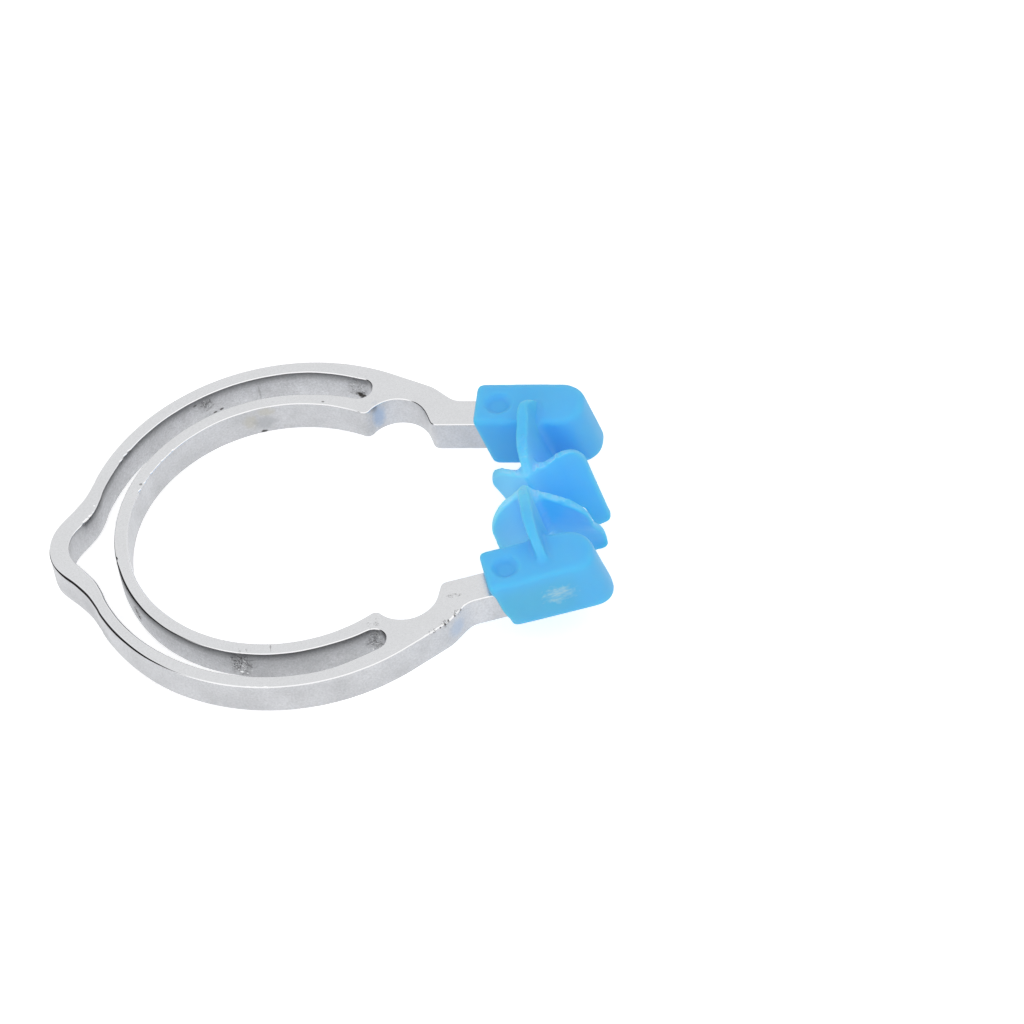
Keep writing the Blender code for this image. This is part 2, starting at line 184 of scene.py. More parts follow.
ringUser = {
    "edgeRound": 0.12,         # mm, tumbled edge
    "wornEdgeRound": 0.3,      # mm, where it is rounder, beside the nub on the right
    "wornBehind": (8, 12),     # mm behind the opening's middle over which the worn edge sets in
    "wornRight": (1, 3),       # mm to the right of it
    "slotNarrowing": 0.2,      # mm, towards the slot's ends
    "narrowsAhead": (2, 6),    # mm ahead of the opening's middle over which the slot narrows
    "cadEdgeRound": 0.1,       # mm, how far the solid's flat face stops short of its wall
    "pointSpacing": 0.1,       # mm along the outline
    "cornerSteps": 6,
    "wallRows": 7,
    "waviness": 0.014,         # mm, hand-polished unevenness of the walls
    "wavesPerMm": 0.8,
    "nicks": [                 # x, y, z, size and depth in mm
        (-10.72, 8.37, 1.3, 0.3, 0.10), (-11.05, 7.98, 1.3, 0.35, 0.08), (-11.4, 7.5, 1.3, 0.25, 0.06),
        (-13.3, 3.7, 1.3, 0.25, 0.10), (-13.4, 3.4, 1.3, 0.2, 0.12), (-13.55, 3.1, 1.3, 0.2, 0.10),
        (-13.7, 2.75, 1.3, 0.22, 0.12), (-13.85, 2.45, 1.3, 0.2, 0.10), (-14.02, 2.2, 1.3, 0.3, 0.12),
        (-10.05, 4.45, 1.3, 0.3, 0.10), (-9.75, 5.2, 1.3, 0.2, 0.06), (-9.2, 6.0, 1.3, 0.25, 0.06),
        (-8.4, 7.1, 1.3, 0.2, 0.06), (-7.6, 7.95, 1.3, 0.22, 0.08), (-11.8, -1.52, 1.3, 0.25, 0.09),
        (9.5, -11.95, 1.3, 0.2, 0.05), (10.1, -11.65, 1.3, 0.16, 0.05), (10.36, -11.49, 1.3, 0.2, 0.07),
        (10.7, -11.2, 1.3, 0.18, 0.06), (10.98, -10.87, 1.3, 0.22, 0.09), (11.2, -10.7, 1.3, 0.16, 0.06),
        (11.4, -10.5, 1.3, 0.2, 0.07), (11.7, -10.24, 1.3, 0.18, 0.06), (12.3, -9.7, 1.3, 0.2, 0.05),
        (-1.7, -14.8, 1.3, 0.2, 0.06), (-2.9, -14.6, 1.3, 0.2, 0.05), (-2.4, -14.7, 1.3, 0.16, 0.04),
        (3.5, -11.2, 1.3, 0.2, 0.08), (4.2, -11.0, 1.3, 0.18, 0.06),
    ],
}


def flatFaceLoops(node):
    # closed outlines round the plate's upper face, material on their left
    work = bmesh.new()
    work.from_mesh(frame["nodes"][node].data)
    work.transform(worldToPlate @ frame["nodes"][node].matrix_world)
    bmesh.ops.remove_doubles(work, verts=work.verts, dist=0.002 * mm)
    work.normal_update()
    nearTop = plateThickness * 0.45
    top = {f for f in work.faces if f.normal.z > 0.999 and f.calc_center_median().z > nearTop}
    following = {}
    for face in top:
        for corner in face.loops:
            others = [f for f in corner.edge.link_faces if f is not face]
            if not any(f in top for f in others):
                following[corner.vert] = corner.link_loop_next.vert
    loops = []
    while following:
        vert, after = following.popitem()
        loop = [vert.co.xy.copy()]
        while after in following:
            loop.append(after.co.xy.copy())
            after = following.pop(after)
        loops.append(loop)
    work.free()
    return sorted(loops, key=lambda loop: min(p.x for p in loop))


def curveThrough(loop, spacing):
    # a smooth closed curve through an outline's corners, in even steps
    ways = [loop[(i + 1) % len(loop)] - p for i, p in enumerate(loop)]
    tangents = [(ways[i - 1] + way).normalized() for i, way in enumerate(ways)]
    points = []
    for i, (start, way) in enumerate(zip(loop, ways)):
        leave = tangents[i] * way.length
        arrive = tangents[(i + 1) % len(loop)] * way.length
        steps = max(1, round(way.length / spacing))
        for t in (k / steps for k in range(steps)):
            blend = 3 * t * t - 2 * t**3
            points.append(start + way * blend + leave * (t - 2 * t * t + t**3) + arrive * (t**3 - t * t))
    return points


def outwardNormals(points):
    normals = []
    for i, point in enumerate(points):
        along = (points[(i + 1) % len(points)] - points[i - 1]).normalized()
        normals.append(Vector((along.y, -along.x)))
    return normals


def edgeProfile(radius):
    # distances outwards from the flat face's outline, with heights, from top to bottom
    half = plateThickness / 2
    reach = ringUser["cadEdgeRound"] * mm
    steps, rows = ringUser["cornerSteps"], ringUser["wallRows"]
    corner = [math.pi / 2 * i / steps for i in range(steps + 1)]
    upper = [(reach - radius * (1 - math.sin(a)), half - radius * (1 - math.cos(a))) for a in corner]
    wall = [(reach, (half - radius) * (1 - 2 * i / rows)) for i in range(1, rows)]
    lower = [(out, -height) for out, height in reversed(upper)]
    return upper + wall + lower


def nickDepth(place):
    # how far wear has eaten into the edge at a point
    depth = 0
    for x, y, z, size, deep in ringUser["nicks"]:
        away = (place / mm - Vector((x, y, z))).length / size
        if away < 1:
            depth += deep * (1 - away * away) ** 2
    return depth * mm


def wallColumn(point, normal, crisp, worn, inSlot):
    # places from the upper flat face down the wall to the lower one, with wear and unevenness
    user = ringUser
    x, y = point / mm
    wear = smoothStep(-x, *user["wornBehind"]) * smoothStep(-y, *user["wornRight"])
    narrowing = user["slotNarrowing"] * mm * smoothStep(x, *user["narrowsAhead"]) if inSlot else 0
    places = []
    for (out, height), (wornOut, wornHeight) in zip(crisp, worn):
        out += (wornOut - out) * wear
        height += (wornHeight - height) * wear
        place = Vector((*(point + normal * (out + narrowing)), height))
        depth = min(1, out / (user["cadEdgeRound"] * mm)) if out > 0 else 0
        wobble = noise.noise(place / mm * user["wavesPerMm"]) * user["waviness"] * mm * depth
        place.xy += normal * (wobble - nickDepth(place))
        places.append(place)
    return places


def ringPiece():
    user = ringUser
    work = bmesh.new()
    crisp, worn = edgeProfile(user["edgeRound"] * mm), edgeProfile(user["wornEdgeRound"] * mm)
    rims = {0: [], len(crisp) - 1: []}    # the flat faces' edges, by row
    outside, slot = flatFaceLoops("spring_ring")
    for loop in (outside, slot):
        points = curveThrough(loop, user["pointSpacing"] * mm)
        grid = []
        for point, normal in zip(points, outwardNormals(points)):
            places = wallColumn(point, normal, crisp, worn, loop is slot)
            grid.append([work.verts.new(place) for place in places])
        for left, right in zip(grid, grid[1:] + grid[:1]):
            for row in range(len(crisp) - 1):
                work.faces.new((left[row], left[row + 1], right[row + 1], right[row]))
            for row, edges in rims.items():
                edges.append(work.edges.get((left[row], right[row])))
    for row, edges in rims.items():
        up = Vector((0, 0, 1 if row == 0 else -1))
        bmesh.ops.triangle_fill(work, use_beauty=True, edges=edges, normal=up)
    bmesh.ops.recalc_face_normals(work, faces=work.faces)

    # flat faces stay flat to the very edge
    flat = plateThickness / 2 - 0.001 * mm
    normals = []
    for vert in work.verts:
        onFlat = abs(vert.co.z) > flat
        normal = Vector((0, 0, math.copysign(1, vert.co.z))) if onFlat else vert.normal
        normals.append(plateToWorld.to_3x3() @ normal)
    mesh = bpy.data.meshes.new("springRing")
    work.to_mesh(mesh)
    work.free()
    mesh.shade_smooth()
    mesh.materials.append(polishedSpringSteel())
    finishPiece("springRing", mesh, "spring_ring")
    mesh.normals_split_custom_set_from_vertices(normals)


steelUser = {
    "flatColour": "#d9dadc",       # polished flat faces
    "wallColour": "#bfc0c3",       # cut walls, satin; darker partly as painted shade for what they mirror
    "edgeHighlightColour": "#e0e1e3",       # painted highlight on the tumbled edges, brighter than the faces beside them
    "glintColour": "#f6f7f8",     # painted glints
    "darkColour": "#35322f",       # pits and soil
    "flatRoughness": 0.24,
    "edgeRoughness": 0.14,         # tumbled edges shine most
    "wallRoughness": 0.36,
    "slotRoughness": 0.46,
    "cloudRoughness": (-0.04, 0.05),   # how far the clouds change it
    "steepLevels": (0.25, 0.9),    # share of facing up or down, from a wall to a flat face
    "edgeBegins": (0.28, 0.42),    # shares between which the tumbled edge sets in
    "edgeEnds": (0.9, 0.98),
    # painted reflection lines along the upper edges, one dark, one bright: the way they face in degrees from
    # the tips' side, the shares of facing up where they set in and end, how squarely they face that way, and
    # colour
    "paintedEdgeLines": [
        (208, (0.32, 0.42, 0.79, 0.88), (0.84, 0.93), "#1f1e1e"),
        (285, (0.38, 0.48, 0.86, 0.93), (0.66, 0.8), "#fcfcfd"),
    ],
    "cloudSize": 2.4,              # mm, clouded polish
    "grainSize": 0.14,             # mm, polishing grain, drawn coarser than the real one so that it shows
    "scratchSize": 0.22,           # mm
    # darkest and lightest shade on flat faces, and on walls
    "cloudShades": ((0.98, 1.01), (0.86, 1.08)),
    "grainShades": ((0.97, 1.03), (0.88, 1.08)),
    # the slot's walls, by their distance from its middle and by how far ahead they lie
    "slotMiddle": (0.2 * mm, 0, 0),
    "slotInner": (11.4 * mm, 11.7 * mm),
    "slotOuter": (14.3 * mm, 14.5 * mm),
    "slotEnds": (6.9 * mm, 7.1 * mm),
    # their painted shade, darker under the top edge and on the right: from and to which height or place across
    #     # the plate, with the shades there
    "slotUpwards": (0.45 * mm, 1.15 * mm, 1.15, 0.5),
    "slotAcross": (-11.8 * mm, -9.6 * mm, 0.78, 1.0),
    "slotStreaks": (0.84, 1.14),   # darkest and lightest scratches
    # marks of use and painted glints: middle and half sizes in mm, strength
    "warmColour": "#aeab9e",       # tarnish
    "warm": [
        (-2.2, 10.9, 0.1, 0.7, 0.5, 0.9, 0.45), (-1.0, 10.95, 0.8, 0.8, 0.4, 0.5, 0.45),
    ],
    "dullColour": "#989a9e",       # handled metal
    "dull": [
        (-1.1, 10.9, -0.2, 1.0, 0.5, 0.8, 0.55), (-13.2, -6.2, -0.6, 1.2, 1.6, 0.9, 0.5),
        (-13.6, -4.8, 0.0, 1.2, 1.4, 1.2, 0.4),
    ],
    "bluishColour": "#8fa7c4",      # bluish patches
    "bluish": [
        (6.9, 10.0, 0.1, 0.75, 0.7, 1.3, 0.6), (8.1, 10.6, 0.2, 0.6, 0.4, 1.1, 0.4),
        (11.5, -10.4, 0.0, 1.1, 0.8, 0.9, 0.35),
    ],
    "rough": [                     # rubbed patches, dark soil and painted glints by turns
        (-10.7, -5.55, -0.2, 0.8, 0.6, 0.7, 1.0), (-3.35, -11.35, 0.0, 1.1, 0.5, 1.3, 1.0),
        (5.6, 12.7, 0.1, 1.1, 0.9, 1.2, 0.6), (-5.2, 12.7, 0.4, 0.7, 0.6, 0.8, 0.8),
        (5.9, -10.4, 0.0, 0.8, 0.9, 1.4, 0.9), (11.6, -8.65, 1.3, 0.55, 0.2, 0.2, 0.5),
        (10.0, -11.65, 1.25, 0.4, 0.3, 0.3, 0.6), (10.85, -11.0, 1.2, 0.5, 0.35, 0.4, 0.7),
        (11.8, -10.15, 1.25, 0.5, 0.3, 0.3, 0.6), (1.0, -11.2, 0.95, 2.4, 0.6, 0.3, 0.5),
    ],
    "roughGlints": (0.43, 0.36, 0.0, 1.0),   # scratch levels, with the cover of painted glints there
    "roughDark": (0.48, 0.57, 0.0, 0.85),    # and of soil
    "pits": [
        (5.78, 12.68, -0.5, 0.52, 0.4, 0.36, 1.0), (-1.33, 10.9, -1.1, 0.32, 0.3, 0.16, 0.9),
        (3.2, 10.82, 1.3, 0.13, 0.09, 0.1, 0.6), (-9.98, 5.11, 1.3, 0.12, 0.12, 0.1, 0.5),
        (-6.0, 12.41, 0.8, 0.2, 0.15, 0.14, 0.6), (-4.31, 13.13, -0.65, 0.22, 0.15, 0.12, 0.9),
        (-4.79, 12.97, -0.72, 0.2, 0.15, 0.09, 0.8), (-1.48, 13.84, -0.15, 0.09, 0.2, 0.9, 0.3),
        (2.25, -11.3, 0.35, 0.1, 0.3, 0.28, 0.8), (3.14, -14.85, 0.55, 0.12, 0.12, 0.1, 0.45),
        (-1.24, -11.3, 1.3, 0.07, 0.4, 0.1, 0.35), (6.08, -10.6, -0.95, 0.3, 0.3, 0.2, 0.5),
        (3.8, -11.1, 0.85, 0.5, 0.35, 0.2, 0.5), (10.55, -11.35, 1.2, 0.09, 0.12, 0.16, 0.9),
        (10.85, -11.05, 1.2, 0.1, 0.1, 0.14, 0.9), (11.1, -10.8, 1.2, 0.1, 0.12, 0.16, 0.8),
        (11.55, -10.4, 1.2, 0.1, 0.1, 0.12, 0.8), (9.8, -11.85, 1.2, 0.09, 0.1, 0.1, 0.7),
        (12.0, -9.95, 1.22, 0.1, 0.1, 0.1, 0.6), (-10.75, -5.4, -0.05, 0.7, 0.16, 0.22, 0.9),
        (-10.65, -5.7, -0.35, 0.7, 0.16, 0.26, 0.9), (-10.8, -5.2, 0.15, 0.6, 0.1, 0.12, 0.7),
    ],
    # painted glints, where scratches catch the light
    "glints": [
        (-3.55, -11.35, -0.75, 0.15, 0.3, 0.12, 1.0), (-3.15, -11.4, -0.85, 0.1, 0.3, 0.1, 1.0),
        (-2.8, -11.45, -0.55, 0.1, 0.3, 0.08, 0.9), (3.75, -11.1, 1.1, 0.2, 0.3, 0.1, 0.9),
        (-13.3, 3.65, 1.25, 0.12, 0.12, 0.1, 0.9),
    ],
    "grainBump": {"Strength": 0.12, "Distance": 0.01 * mm},
    "scratchBump": {"Strength": 0.9, "Distance": 0.08 * mm},
}


def paintedEdgeLine(tree, facingUp, towards, levels, squareness):
    # where a painted reflection line lies: 1 on the upper edges' rounding where it faces one way along the
    # plate;
    # the number just over 1 keeps flat faces from dividing by nothing
    towards = math.radians(towards)
    sideways = facing(tree, (math.cos(towards), math.sin(towards), 0))
    squared = addNode(tree, "ShaderNodeMath", (facingUp, facingUp), operation="MULTIPLY")
    flatness = addNode(tree, "ShaderNodeMath", (1.001, squared), operation="SUBTRACT")
    length = addNode(tree, "ShaderNodeMath", (flatness,), operation="SQRT")
    share = addNode(tree, "ShaderNodeMath", (sideways, length), operation="DIVIDE")
    return faded(tree, 1.0, (facingUp, *levels[:2], 0.0, 1.0), (facingUp, *levels[2:], 1.0, 0.0),
                 (share, *squareness, 0.0, 1.0))


def slotWalls(tree, spread, scratch, steep):
    # where the crescent slot's walls are, and their painted shade: darker towards the top and on the right
    user = steelUser
    flatPlace = addNode(tree, "ShaderNodeCombineXYZ", (spread["X"], spread["Y"]))
    radius = addNode(tree, "ShaderNodeVectorMath", (flatPlace, user["slotMiddle"]), operation="DISTANCE")
    inSlot = faded(tree, steep, (radius, *user["slotInner"], 0.0, 1.0), (radius, *user["slotOuter"], 1.0, 0.0),
                   (spread["X"], *user["slotEnds"], 1.0, 0.0))
    shade = faded(tree, 1.0, (spread["Z"], *user["slotUpwards"]), (scratch, *noiseSpan, *user["slotStreaks"]),
                  (spread["Y"], *user["slotAcross"]))
    return inSlot, shade


def polishedSpringSteel():
    # tumbled and polished spring steel: bright flat faces, satin grey cut walls, painted highlights and
    # reflection
    #     # lines on the rounded edges, painted shade in the slot, small pits, rubbed patches and painted
    #     glints
    user = steelUser
    material, tree, place = newMaterial("polishedSpringSteel")
    facingUp = facing(tree, (0, 0, 1))
    level = addNode(tree, "ShaderNodeMath", (facingUp,), operation="ABSOLUTE")
    steep = addNode(tree, "ShaderNodeMapRange", (level, *user["steepLevels"], 1.0, 0.0))
    edge = faded(tree, 1.0, (level, *user["edgeBegins"], 0.0, 1.0), (level, *user["edgeEnds"], 1.0, 0.0))
    cloud, grain = (addNode(tree, "ShaderNodeTexNoise", {
        "Vector": place, "Scale": perMm(user[size]), "Detail": 3.0,
    }) for size in ("cloudSize", "grainSize"))
    scratch = addNode(tree, "ShaderNodeTexNoise", {
        "Vector": place, "Scale": perMm(user["scratchSize"]),
        "Detail": 4.0, "Roughness": 0.7, "Distortion": 1.5,
    })
    spread = addNode(tree, "ShaderNodeSeparateXYZ", (place,)).outputs
    inSlot, slotPaintedShade = slotWalls(tree, spread, scratch, steep)

    # clean metal
    # walls darker partly as painted shade for what they mirror
    colour = coated(tree, hexColour(user["flatColour"]), (steep, user["wallColour"]))
    shades = []
    for pattern, spans in ((cloud, user["cloudShades"]), (grain, user["grainShades"])):
        onFlat, onWall = (addNode(tree, "ShaderNodeMapRange", (pattern, *noiseSpan, *span)) for span in spans)
        shades.append((1.0, addNode(tree, "ShaderNodeMix", {"Factor": steep, "A": onFlat, "B": onWall})))
    # the slot's painted shade goes in here
    for mask, shade in (*shades, (inSlot, slotPaintedShade)):
        colour = addNode(tree, "ShaderNodeMix", {
            "Factor": mask, "A": colour, "B": shade,
        }, data_type="RGBA", blend_type="MULTIPLY")
    # painted highlight along the rounded edges
    colour = coated(tree, colour, (edge, user["edgeHighlightColour"]))
    # painted reflections: a dark line and a bright line along the upper edges
    for towards, levels, squareness, code in user["paintedEdgeLines"]:
        colour = coated(tree, colour, (paintedEdgeLine(tree, facingUp, towards, levels, squareness), code))

    # marks of use, with painted glints
    rough = marked(tree, place, user["rough"], 0.3)
    colour = coated(
        tree, colour,
        (marked(tree, place, user["warm"], 0.15), user["warmColour"]),
        (marked(tree, place, user["dull"], 0.15), user["dullColour"]),
        (marked(tree, place, user["bluish"], 0.1), user["bluishColour"]),
        (faded(tree, rough, (scratch, *user["roughGlints"])), user["glintColour"]),
        (faded(tree, rough, (scratch, *user["roughDark"])), user["darkColour"]),
        (marked(tree, place, user["pits"], 0.3), user["darkColour"]),
        (marked(tree, place, user["glints"], 0.3), user["glintColour"]),
    )

    satin = user["flatRoughness"]
    for mask, part in ((steep, "wallRoughness"), (inSlot, "slotRoughness"), (edge, "edgeRoughness")):
        satin = addNode(tree, "ShaderNodeMix", {"Factor": mask, "A": satin, "B": user[part]})
    clouding = addNode(tree, "ShaderNodeMapRange", (cloud, *noiseSpan, *user["cloudRoughness"]))
    satin = addNode(tree, "ShaderNodeMath", (satin, clouding), operation="ADD")

    torn = addNode(tree, "ShaderNodeMath", (scratch, rough), operation="MULTIPLY")
    fine = addNode(tree, "ShaderNodeBump", {"Height": grain, **user["grainBump"]})
    bump = addNode(tree, "ShaderNodeBump", {"Height": torn, "Normal": fine, **user["scratchBump"]})
    shader = addNode(tree, "ShaderNodeBsdfPrincipled", {
        "Base Color": colour, "Metallic": 1.0, "Roughness": satin, "Normal": bump,
    })
    addNode(tree, "ShaderNodeOutputMaterial", {"Surface": shader})
    return material


# Sky-blue silicone tips. Each is shaped in its own frame, in mm: x along the arm from the socket's mouth,
# y outwards from the arm's middle, z up

tipUser = {
    "mouth": (14.356, 7.936),  # mm, middle of the socket's mouth on the left arm
    "turn": 9.2,               # degrees that the arm turns inwards
    "lean": 13.2,              # degrees that the body leans back
    "weld": 0.002,             # mm between points that are one
    "voxel": 0.085,            # mm, moulded detail
    "filletRadius": 0.32,      # mm, in the corners of web, saddle and body
    "softening": 5,            # smoothing passes
    "bodySoftening": 30,       # more smoothing passes on the body, whose edges are rounder
    "bodyInside": -2.4,        # mm, the body's inner side, where those passes end
    "bodyWeb": (3.6, 1.2, 2.3),   # mm, middle, half width and lower end of the web, which they leave out
    "arm": (5.0, 1.15, 1.3),   # mm, held length, half width and half thickness
    "socketEnd": 0.1,          # mm beyond the held length
    "cadClearance": 0.25,      # mm between arm and socket in the solids
    "snugGap": 0.04,           # mm, what the soft silicone leaves
    "squeeze": 0.48,           # mm round the arm that the silicone gives way
    "webRoot": 4.25,           # mm from the mouth
    "webSlant": 3.0,           # degrees
    "webAbove": 2.3,           # mm above the arm's middle, and as far inwards of it, where the web stands free
    "webThins": (-3.2, -0.2),  # mm outwards over which the web thins
    "foldThins": (5.2, 6.8),   # mm inwards over which the saddle's fold thins
    "foldThin": 0.25,          # how much of it goes
    "thinReach": (0.5, 1.8),   # mm beside the web's middle where the thinning fades
    "outerWallFrom": (1.5, 1.85),   # mm outwards over which the outer wall moves out
    "saddleFrom": (3.2, 5.6),  # mm inwards over which the saddle takes its stance
    "saddleTop": 2.1,          # mm above the arm's middle, where a leaning saddle keeps its place
    "tallerFrom": -1.0,        # mm, lowest level that a taller saddle stretches
    "dimpleRadius": 1.08,      # mm
    "dimpleRim": 0.6,          # mm over which the floor rises to the rim
    "dimpleFloor": 2.2,        # mm above the arm's middle
    "dimpleAbove": 2.0,        # mm, the lowest level that belongs to the top face
    "flash": 0.36,             # mm, ragged film left along the saddle's upper rims
    "flashFrom": -4.6,         # mm outwards, where the saddle's rims begin
    "flashWaves": (1.7, 6),    # coarse and fine, per mm
    "prongFlash": 0.7,         # share of it round the prongs' ends
    "prongFrom": (3.9, 4.5),   # mm below the arm's middle over which it sets in
    "prongWaves": 2.5,         # per mm
    # each tip's own stance, in mm and degrees. thin: how much of the web goes; outerWall: how much thicker;
    # slide: out along the arm; dimple: its place; saddleSlide, saddleLean and taller: how the saddle stands;
    # pulls on the soft walls: place, radius, pull
    "left": {
        "thin": 0.7, "outerWall": 0.4, "slide": 0.22, "dimple": (1.2, -0.25),
        "saddleSlide": -0.22, "saddleLean": 0.0, "taller": 0.38,
        "pulls": [
            ((3.2, -0.6, 3.4), 2.0, (0.36, -0.35, -0.1)),
            ((1.2, -5.9, -1.4), 1.8, (0.4, 0.0, 0.0)),
            ((6.9, -5.3, 2.3), 1.9, (0.0, 0.0, 0.45)),
        ],
    },
    "right": {
        "thin": 0.15, "outerWall": 0.0, "slide": 0.0, "dimple": (1.05, -0.05),
        "saddleSlide": -0.25, "saddleLean": -4.0, "taller": 0.45,
        "pulls": [
            ((8.2, -4.3, 0.7), 2.5, (0.12, 0.05, -0.05)),
            ((0.6, 1.8, -2.2), 1.9, (0.28, -0.02, 0.0)),
            ((3.5, 0.3, 2.7), 1.5, (0.05, 0.5, 0.0)),
            ((1.7, -6.0, -0.2), 2.6, (0.16, 0.0, -0.06)),
            ((1.6, -5.2, -1.6), 1.6, (-0.1, 0.0, -0.2)),
            ((8.5, -5.4, -2.5), 2.6, (0.36, 0.0, 0.52)),
        ],
    },
}


def toTipFrame(side):
    # from the plate's frame, in mm, to the left tip's own; the right tip is mirrored onto it
    user = tipUser
    mirror = Matrix.Diagonal((1, side, 1, 1))
    slide = Matrix.Translation((-user["mouth"][0], -user["mouth"][1], 0))
    return Matrix.Rotation(math.radians(user["turn"]), 4, "Z") @ slide @ mirror


def reshape(p, stance):
    # lens-shaped web, and the way the soft saddle stands
    user = tipUser
    lean = math.tan(math.radians(user["lean"]))
    webMiddle = user["webRoot"] - math.tan(math.radians(user["webSlant"])) * p.y - lean * p.z
    aside = p.x - webMiddle
    thin = smoothStep(p.y, *user["webThins"]) * stance["thin"]
    thin += smoothStep(-p.y, *user["foldThins"]) * user["foldThin"]
    if p.z > user["webAbove"] or p.y < -user["webAbove"]:
        p.x = webMiddle + aside * (1 - thin * (1 - smoothStep(abs(aside), *user["thinReach"])))
    p.y += stance["outerWall"] * smoothStep(p.y, *user["outerWallFrom"])
    saddle = smoothStep(-p.y, *user["saddleFrom"])
    p.x += math.tan(math.radians(stance["saddleLean"])) * (user["saddleTop"] - p.z) * saddle
    p.x += stance["saddleSlide"] * saddle
    p.z += stance["taller"] * saddle * smoothStep(p.z, user["tallerFrom"], user["saddleTop"])
    for middle, radius, pull in stance["pulls"]:
        away = (p - Vector(middle)).length / radius
        if away < 1:
            p += Vector(pull) * (1 - away * away) ** 2
    p.x += stance["slide"]
    return p


def finish(p, normal, stance):
    # flat-floored dimple, and ragged flash along the saddle's upper rims and round the prongs' ends
    user = tipUser
    x, y = stance["dimple"]
    inside = user["dimpleRadius"] - math.hypot(p.x - x - stance["slide"], p.y - y)
    if inside > 0 and p.z > user["dimpleAbove"]:
        p.z += (min(p.z, user["dimpleFloor"]) - p.z) * smoothStep(inside, 0, user["dimpleRim"])
    if p.y < user["flashFrom"] and normal.z > 0.5:
        coarse, fine = user["flashWaves"]
        ragged = max(0, noise.noise(p * coarse) + 0.5 * noise.noise(p * fine))
        p.z += user["flash"] * (normal.z - 0.5) * 2 * ragged
    if p.z < -user["prongFrom"][0]:
        ragged = noise.noise_vector(p * user["prongWaves"]).xy
        p.xy += ragged * user["flash"] * smoothStep(-p.z, *user["prongFrom"]) * user["prongFlash"]
    return p


def snug(p):
    # the solid's socket stands clear of the arm; the soft silicone grips it
    user = tipUser
    length, halfWidth, halfThickness = user["arm"]
    if p.x > length + user["socketEnd"]:
        return p
    out = max(abs(p.y) - halfWidth, abs(p.z) - halfThickness)
    if 0 < out < user["squeeze"]:
        gap, clearance, squeeze = user["snugGap"], user["cadClearance"], user["squeeze"]
        share = (out - clearance) / (squeeze - clearance)
        wanted = gap + max(share, 0) * (squeeze - gap)
        for axis, half in ((1, halfWidth), (2, halfThickness)):
            beyond = abs(p[axis]) - half
            if beyond > 0:
                p[axis] = math.copysign(half + beyond * wanted / out, p[axis])
    return p


def onBody(p):
    # whether a point belongs to the body, and not to the web or saddle
    middle, halfWidth, above = tipUser["bodyWeb"]
    return p.y > tipUser["bodyInside"] and (abs(p.x - middle) > halfWidth or p.z < above)


def applied(draft):
    # the draft with its modifiers' result as its mesh
    evaluated = draft.evaluated_get(bpy.context.evaluated_depsgraph_get())
    mesh = bpy.data.meshes.new_from_object(evaluated)
    draft.modifiers.clear()
    draft.data = mesh
    return mesh


def remesh(draft):
    step = draft.modifiers.new("moulded", "REMESH")
    step.mode = "VOXEL"
    step.voxel_size = tipUser["voxel"]


def swell(draft, distance):
    step = draft.modifiers.new("swell", "DISPLACE")
    step.strength = distance
    step.mid_level = 0


def tipPiece(node, name, side, material):
    user = tipUser
    stance = user["left" if side > 0 else "right"]
    mesh = frame["nodes"][node].data.copy()
    toTip = toTipFrame(side)
    mesh.transform(toTip @ Matrix.Scale(1 / mm, 4) @ worldToPlate)
    if side < 0:
        mesh.flip_normals()
    draft = bpy.data.objects.new(name + "Draft", mesh)
    bpy.context.scene.collection.objects.link(draft)
    weld = draft.modifiers.new("weld", "WELD")
    weld.merge_threshold = user["weld"]
    remesh(draft)
    for vert in applied(draft).vertices:
        vert.co = reshape(vert.co.copy(), stance)

    # swelling and shrinking fills the corners with fillets
    remesh(draft)
    swell(draft, user["filletRadius"])
    remesh(draft)
    swell(draft, -user["filletRadius"])
    remesh(draft)
    shaped = applied(draft)
    body = draft.vertex_groups.new(name="body")
    body.add([vert.index for vert in shaped.vertices if onBody(vert.co)], 1.0, "ADD")
    rounder = draft.modifiers.new("rounder", "SMOOTH")
    rounder.iterations = user["bodySoftening"]
    rounder.vertex_group = "body"
    soften = draft.modifiers.new("soft", "SMOOTH")
    soften.iterations = user["softening"]
    shaped = applied(draft)
    normals = [vert.normal.copy() for vert in shaped.vertices]
    for vert, normal in zip(shaped.vertices, normals):
        vert.co = snug(finish(vert.co.copy(), normal, stance))
    bpy.data.objects.remove(draft)
    shaped.name = name
    shaped.transform(Matrix.Scale(mm, 4) @ toTip.inverted())
    if side < 0:
        shaped.flip_normals()
    shaped.materials.clear()
    shaped.materials.append(material)
    shaped.shade_smooth()
    finishPiece(name, shaped, node)


